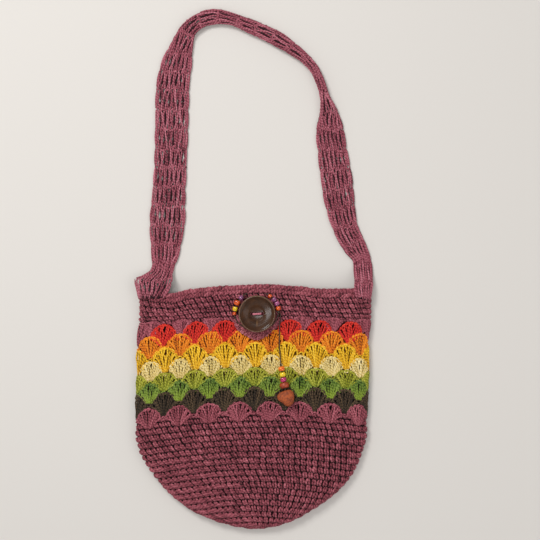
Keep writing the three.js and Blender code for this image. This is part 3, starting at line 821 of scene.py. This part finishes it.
def on_line(line):
    """Places strands along a flat line of (x, drop): run along it in mm, aside to its left, lift up."""
    run = run_along(line)
    ahead = unit(np.gradient(line, run, axis=0))

    def place(aside, along, lift):
        x, drop = (np.interp(along, run, line[:, i]) for i in range(2))
        right, down = (np.interp(along, run, ahead[:, i]) for i in range(2))
        across = x + down * aside + tab_x + middle_x
        points = np.stack([across, mouth_y - (drop - right * aside), tab_z + lift], -1)
        return points, np.zeros_like(points) + [0, 0, 1.0]

    return place, run[-1]


tab_chains = 5
chain_pitch = 3.1
link_length = 4.6
tab_link = [
    [(0.0, -0.5, -0.4), (0.42, -0.2, 0.1), (0.5, 0.15, 0.3), (0.1, 0.6, -0.2)],
    [(0.0, -0.5, -0.4), (-0.42, -0.2, 0.1), (-0.5, 0.15, 0.3), (-0.1, 0.6, -0.2)],
]
rng = np.random.default_rng(15)
tab_runs = []
for k in range(tab_chains):
    place, length = on_line(tab_edge(1.3 + chain_pitch * k))
    count = int(length / link_length)
    for strand in tab_link:
        shape = np.array(strand)
        centre = (np.arange(count) + 0.5) * length / count
        along = centre[:, None] + length / count * shape[:, 1] + rng.normal(0, 0.15, (count, len(shape)))
        aside = 1.9 * shape[:, 0] + rng.normal(0, 0.12, (count, len(shape)))
        lift = 0.1 + shape[:, 2] + 0 * along
        tab_runs.append(strands(place, aside, along, lift, 0.95, rng))
# The tab's yarn is the plum yarn painted lighter, as painted light against the button's shadow on the tab.
tab_yarn = yarn_finish("tab_yarn", "90474e", "2e0c12", "cc8088")
tab_piece = yarn_piece("button_tab_yarn", tab_runs, tab_yarn)
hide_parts("button_tab")
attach(tab_piece, "root")


# Button: one large disc of dark polished shell, turned with a slim raised rim and a dished middle, and
# drilled with two holes. It stands on its thread over the tab.
button_low, button_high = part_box("button")
button_middle = ((button_low.x + button_high.x) / 2, (button_low.y + button_high.y) / 2, 0)
hole_spacing = 10.8
button_profile = [
    (0, 0), (8.5, 0.15), (15.2, 0.9), (17.6, 1.5), (18.6, 2.3), (19.0, 3.0), (19.0, 3.6), (18.7, 4.15),
    (18.2, 4.38), (17.6, 4.3), (17.0, 3.8), (16.2, 3.3), (14.5, 3.02), (11.8, 2.8), (9.4, 2.66),
    (8.2, 2.5), (7.3, 2.1), (6.3, 1.92), (0, 1.9),
]


def only(piece):
    """Selects this piece and nothing else."""
    bpy.ops.object.select_all(action="DESELECT")
    bpy.context.view_layer.objects.active = piece
    piece.select_set(True)


def cut_away(piece, cutter):
    """Takes the shape of a cutter, which has just been added at its place, out of a piece."""
    bpy.ops.object.transform_apply(location=True, rotation=True, scale=True)
    cut = piece.modifiers.new("cut", "BOOLEAN")
    cut.object = cutter
    cut.solver = "EXACT"
    only(piece)
    bpy.ops.object.modifier_apply(modifier="cut")
    bpy.data.objects.remove(cutter)


mesh = bpy.data.meshes.new("button_disc")
mesh.from_pydata(
    [(button_middle[0] + r / 1000, button_middle[1], button_low.z + z / 1000) for r, z in button_profile],
    [(i, i + 1) for i in range(len(button_profile) - 1)],
    [],
)
button = placed("button_disc", mesh)
only(button)
bpy.ops.object.mode_set(mode="EDIT")
bpy.ops.mesh.select_all(action="SELECT")
bpy.ops.mesh.spin(steps=96, angle=2 * math.pi, center=button_middle, axis=(0, 0, 1))
bpy.ops.mesh.select_all(action="SELECT")
bpy.ops.mesh.remove_doubles(threshold=0.00001)
bpy.ops.mesh.select_all(action="SELECT")
bpy.ops.mesh.normals_make_consistent(inside=False)
bpy.ops.object.mode_set(mode="OBJECT")
for side in (-1, 1):
    cut_away(button, start_from(
        bpy.ops.mesh.primitive_cylinder_add, "drill", vertices=40, radius=0.0018, depth=0.02,
        location=(button_middle[0] + side * hole_spacing / 2000, button_middle[1], button_low.z),
    ))
cut_away(button, start_from(
    bpy.ops.mesh.primitive_uv_sphere_add, "groove", segments=48, ring_count=24, radius=1,
    scale=(0.0084, 0.0016, 0.0011), location=(button_middle[0], button_middle[1], button_low.z + 0.0021),
))
bpy.ops.object.shade_smooth_by_angle(angle=math.radians(40))

polished_shell, nodes, links, shader = new_finish("polished_shell")
place = nodes.new("ShaderNodeTexCoord")


def moved(where, kind, sockets):
    """The same place after a move or a stretch."""
    mapping = nodes.new("ShaderNodeMapping")
    mapping.vector_type = kind
    set_sockets(mapping, sockets)
    links.new(where, mapping.inputs["Vector"])
    return mapping.outputs["Vector"]


centred = moved(place.outputs["Object"], "POINT", {
    "Location": (-button_middle[0], -button_middle[1], -button_low.z),
})
flat = moved(centred, "POINT", {"Scale": (1, 1, 0)})


def within(where, edge, full):
    """A mask by the distance from the middle: nothing at one distance, all at the other."""
    away = nodes.new("ShaderNodeVectorMath")
    away.operation = "LENGTH"
    links.new(where, away.inputs[0])
    mask = nodes.new("ShaderNodeMapRange")
    set_sockets(mask, {"From Min": edge, "From Max": full})
    links.new(away.outputs["Value"], mask.inputs["Value"])
    return mask.outputs["Result"]


fine = {"Scale": 190, "Detail": 5, "Distortion": 0.8}
grain = texture(nodes, links, "Noise", fine, centred)
colour = toned(nodes, links, grain.outputs["Fac"], ((0.3, linear("2a1505")), (0.75, linear("42250d"))))
colour = mixed(nodes, links, within(flat, 0.0174, 0.0181), colour, linear("5e4432"))
# Two painted marks on the disc: a near-black ellipse over the groove and the holes, painted shade in that
# recess, and a lighter streak below the middle, a painted highlight.
for middle, reach, shade in (
    ((0, 0, 0), (0.0084, 0.0017, 1), "120a05"), ((0, -0.0098, 0), (0.0013, 0.0040, 1), "5a3d22"),
):
    painted_shade_and_highlight = moved(flat, "TEXTURE", {"Location": middle, "Scale": reach})
    colour = mixed(nodes, links, within(painted_shade_and_highlight, 1.0, 0.3), colour, linear(shade))
links.new(colour, shader.inputs["Base Color"])
set_sockets(shader, {
    "Roughness": 0.35, "Specular IOR Level": 0.1, "Coat Weight": 0.24, "Coat Roughness": 0.13,
})
button.data.materials.append(polished_shell)
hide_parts("button")
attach(button, "button")


# Sewing thread: four rose strands side by side over the button's middle, down both holes and under it,
# with the ends wound round them as a shank down to the tab.
thread_radius = 0.3
shank_radius = 1.75
thread_route = np.array([
    (-4.2, -0.75), (-4.6, -0.6), (-4.65, 0.6), (-4.65, 2.6), (-4.4, 3.2), (-3.4, 3.45), (0, 3.5),
    (3.4, 3.45), (4.4, 3.2), (4.65, 2.6), (4.65, 0.6), (4.6, -0.6), (4.2, -0.75), (2, -0.9), (0, -0.9),
    (-2, -0.9), (-4.2, -0.78),
])


def on_button(x, y, z):
    """Points about the button's middle and above its underside, in mm."""
    points = np.stack([x + 1000 * button_middle[0], y + 1000 * button_middle[1], z + 1000 * button_low.z], -1)
    return points, np.zeros_like(points) + [0, 1.0, 0]


rng = np.random.default_rng(16)
offsets = np.array([[-0.62], [-0.21], [0.21], [0.62]])
spread = (len(offsets), len(thread_route))
thread_x = 0.93 * np.broadcast_to(thread_route[:, 0], spread) + rng.normal(0, 0.03, (4, 1))
thread_y = offsets + 0.07 * thread_x + rng.normal(0, 0.05, spread)
thread_z = thread_route[:, 1] + rng.normal(0, 0.04, (4, 1))
thread_runs = [strands(on_button, thread_x, thread_y, thread_z, thread_radius, rng, 6)]
wind = np.linspace(0, 2 * math.pi * 4, 65)[None]
wound_x, wound_y = shank_radius * np.cos(wind), shank_radius * np.sin(wind)
wound_z = -2.0 + 1.3 * wind / wind.max()
thread_runs.append(strands(on_button, wound_x, wound_y, wound_z, thread_radius, rng, 6))
core_z = np.array([[-2.25, -1.9, -1.2, -0.8, -0.5]])
thread_runs.append(strands(on_button, 0 * core_z, 0 * core_z, core_z, 1.5, rng, 16))
rose = yarn_finish("rose_thread", "bf6a78", "5a222c", "e8a8b0", twist=1.2)
thread = yarn_piece("button_thread_strands", thread_runs, rose)
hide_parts("button_thread")
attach(thread, "button")


# Waxed cords: a loop that comes out of the band, down both sides of the button and round below its
# shank, and the dangle's cord tied to its right side. Both are thin dark waxed cotton.
cord_diameter = 0.0012
front_z = 16.0
loop_route = [
    (-6.2, 5.2, 0.95), (-9.3, 7.4, 1.9), (-12.1, 10.1, 2.95), (-14.4, 12.6, 3.2), (-16.3, 15.2, 3.4),
    (-17.6, 18.4, 3.25), (-18.4, 21.5, 3.05), (-19, 24, 2.9), (-19.2, 26.5, 2.9), (-18.4, 30.5, 3.7),
    (-15.5, 35.5, 3.9), (-10, 39.8, 4), (-3, 42.2, 4), (4.3, 43, 4), (11.6, 42.2, 4), (18.4, 39.2, 4),
    (23.2, 34.2, 3.9), (25.9, 28.8, 3.7), (26.4, 25, 3.2), (26.4, 21, 2.95), (25.9, 18.5, 2.95),
    (24.9, 16.2, 2.95), (23.5, 14, 2.95), (21.9, 12, 2.95), (19.9, 10.2, 2.75), (17.7, 8.5, 2.5),
    (15.4, 6.9, 1.7), (13, 5.4, 0.95),
]
dangle_route = [
    (28.4, 26.4, 3), (28.4, 28.6, 2.4), (28.1, 32, 1.3), (27.7, 37, 0.95), (27.4, 44, 0.95),
    (27.2, 51, 0.95), (27.5, 60, 0.95), (28, 68, 0.95), (28.5, 74.5, 1.6), (29, 79.4, 3.3),
    (29.6, 83.4, 4.2), (30.3, 87, 4.25), (30.9, 90.5, 4.2), (31.7, 95.5, 4.5), (32.8, 101.1, 5.2),
    (33.6, 105.4, 5.1), (33.9, 110, 5), (34, 116, 5), (34, 123, 5),
]


def cord_line(route):
    """A cord's middle line in metres, smooth through the rows of its route."""
    rows = [(x + middle_x, mouth_y - drop, front_z + height) for x, drop, height in route]
    return smooth_line(rows, 6) * 0.001


waxed, nodes, links, shader = new_finish("waxed_cord")
wax = texture(nodes, links, "Noise", {"Scale": 1500}).outputs["Fac"]
tones = (0, linear("1c1006")), (1, linear("402a12"))
links.new(toned(nodes, links, wax, tones), shader.inputs["Base Color"])
bumped(nodes, links, wax, shader, 1.0, 0.0002)
shader.inputs["Roughness"].default_value = 0.5


def waxed_cord(name, line):
    """A round cord along its line."""
    curve = bpy.data.curves.new(name, "CURVE")
    curve.dimensions = "3D"
    curve.bevel_depth = cord_diameter / 2
    curve.bevel_resolution = 3
    curve.use_fill_caps = True
    spline = curve.splines.new("POLY")
    spline.points.add(len(line) - 1)
    for point, at in zip(spline.points, line):
        point.co = (*at, 1)
    curve.materials.append(waxed)
    return placed(name, curve)


loop_line = cord_line(loop_route)
dangle_line = cord_line(dangle_route)
loop_cord = waxed_cord("loop_waxed_cord", loop_line)
dangle_cord = waxed_cord("dangle_waxed_cord", dangle_line)


# Beads: small pressed glass rondelles on the loop and the dangle, and one larger brown-red seed bead
# above the drop. Each is bored through its middle for the cord.
def bead_finish(name, colour, deep, roughness=0.12, coat=0.4):
    """Glass or stone, clouded with a deeper tone of its colour."""
    finish, nodes, links, shader = new_finish(name)
    cloud = texture(nodes, links, "Noise", {"Scale": 420, "Detail": 3}).outputs["Fac"]
    tones = (0.35, linear(deep)), (0.62, linear(colour))
    links.new(toned(nodes, links, cloud, tones), shader.inputs["Base Color"])
    set_sockets(shader, {"Roughness": roughness, "Coat Weight": coat})
    return finish


glass = {
    label: bead_finish(label + "_glass", colour, deep)
    for label, colour, deep in (
        ("orange", "ee7a08", "c04c04"), ("deep_orange", "dc580c", "a03004"), ("yellow", "ecd01c", "c09408"),
        ("lilac", "8e4a74", "5a2446"), ("dusty_pink", "b05a86", "702e54"), ("magenta", "c42a6c", "80103c"),
    )
}
glass["seed"] = bead_finish("seed_bead", "a43c14", "642209", 0.45, 0.1)
cord_bore = 0.95


def bead(name, node, line, route, row, diameter, length, finish, body):
    """A rondelle threaded on a cord, its hole along the line at that row of the route."""
    here = int(round(row / (len(route) - 1) * (len(line) - 1)))
    ahead = line[min(here + 2, len(line) - 1)] - line[here - 2]
    thick = (diameter / 2 - cord_bore) / 2
    made = start_from(
        bpy.ops.mesh.primitive_torus_add, name, major_segments=36, minor_segments=16,
        major_radius=(cord_bore + thick) / 1000, minor_radius=thick / 1000,
    )
    made.scale = (1, 1, length / (2 * thick))
    made.rotation_mode = "QUATERNION"
    made.rotation_quaternion = Vector(ahead).to_track_quat("Z", "Y")
    made.location = line[here]
    bpy.ops.object.transform_apply(location=True, rotation=True, scale=True)
    bpy.ops.object.shade_smooth()
    made.data.materials.append(finish)
    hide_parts(node)
    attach(made, body)
    return made


loop_beads = [
    bead(node + "_glass", node, loop_line, loop_route, row, wide, long, glass[colour], "root")
    for node, row, wide, long, colour, slot in (
        ("loop_bead_lilac_left", 2, 5.2, 4.4, "lilac", "lilac_glass"),
        ("loop_bead_orange_left", 4, 6.1, 5, "deep_orange", "orange_glass"),
        ("loop_bead_yellow_left", 6, 5.4, 4.4, "yellow", "yellow_glass"),
        ("loop_bead_small_left", 8, 4, 3.2, "deep_orange", "orange_glass"),
        ("loop_bead_orange_right", 19, 5.2, 4.2, "deep_orange", "orange_glass"),
        ("loop_bead_magenta_right", 21, 5.2, 4.2, "dusty_pink", "lilac_glass"),
        ("loop_bead_lilac_right", 23, 5.2, 4.2, "lilac", "lilac_glass"),
        ("loop_bead_small_right", 25, 4.2, 3.4, "deep_orange", "orange_glass"),
    )
]
hitch = bead(
    "dangle_tie_hitch", "dangle_tie", loop_line, loop_route, 18, 3.1, 1.8, waxed, "root",
)
dangle_beads = [
    bead(node + "_glass", node, dangle_line, dangle_route, row, wide, long, glass[colour], "dangle")
    for node, row, wide, long, colour, slot in (
        ("dangle_bead_orange", 10, 6.7, 4.7, "orange", "orange_glass"),
        ("dangle_bead_yellow", 11.75, 6.6, 4.6, "yellow", "yellow_glass"),
        ("dangle_bead_magenta", 12.85, 6.5, 4.6, "magenta", "magenta_glass"),
        ("dangle_bead_brown", 13.85, 10.0, 5.8, "seed", "terracotta"),
    )
]


# Stone drop: a large red-brown pebble with three soft corners, and the knot in the cord's end that
# keeps it on.
drop_x = 33.8
drop_down = 113.6
drop_height = 0.021
drop_thickness = 0.0092
corner_turns = np.radians([-96, -55, 6, 50, 91, 133, 179])[:, None]
corner_reach = [7.4, 9.6, 9.0, 10.0, 8.3, 8.0, 8.7]
waves = np.arange(1, 4)
outline = np.linalg.solve(
    np.hstack([np.ones((7, 1)), np.cos(corner_turns * waves), np.sin(corner_turns * waves)]), corner_reach,
)
drop = start_from(
    bpy.ops.mesh.primitive_uv_sphere_add, "drop_stone", segments=64, ring_count=32, radius=0.5,
)
for vertex in drop.data.vertices:
    turn = math.atan2(vertex.co.y, vertex.co.x)
    reach = outline[0] + outline[1:4] @ np.cos(turn * waves) + outline[4:] @ np.sin(turn * waves)
    share = 2 * math.hypot(vertex.co.x, vertex.co.y) ** 0.85 * 0.5**0.15
    vertex.co = (
        0.001 * (middle_x + drop_x + share * reach * math.cos(turn)),
        0.001 * (mouth_y - drop_down + share * reach * math.sin(turn)),
        vertex.co.z * drop_thickness + drop_height,
    )
bpy.ops.object.shade_smooth()
drop.data.materials.append(bead_finish("mottled_stone", "a04a18", "6e2c0a", 0.75, 0.0))
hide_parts("stone_drop")
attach(drop, "dangle")

knot_low, knot_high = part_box("end_knot")
knot = start_from(
    bpy.ops.mesh.primitive_ico_sphere_add, "cord_knot",
    subdivisions=3, radius=0.0013, location=(knot_low + knot_high) / 2,
)
bpy.ops.object.transform_apply(location=True, rotation=True, scale=True)
bpy.ops.object.shade_smooth()
knot.data.materials.append(waxed)
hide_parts("end_knot")
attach(knot, "dangle")


# The two waxed cords again, now that everything threaded on them is there. The loop goes back into the
# band, and the dangle ends in its knot.
for cord, node, body in ((loop_cord, "loop_cord", "root"), (dangle_cord, "dangle_cord", "dangle")):
    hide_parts(node)
    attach(cord, body)
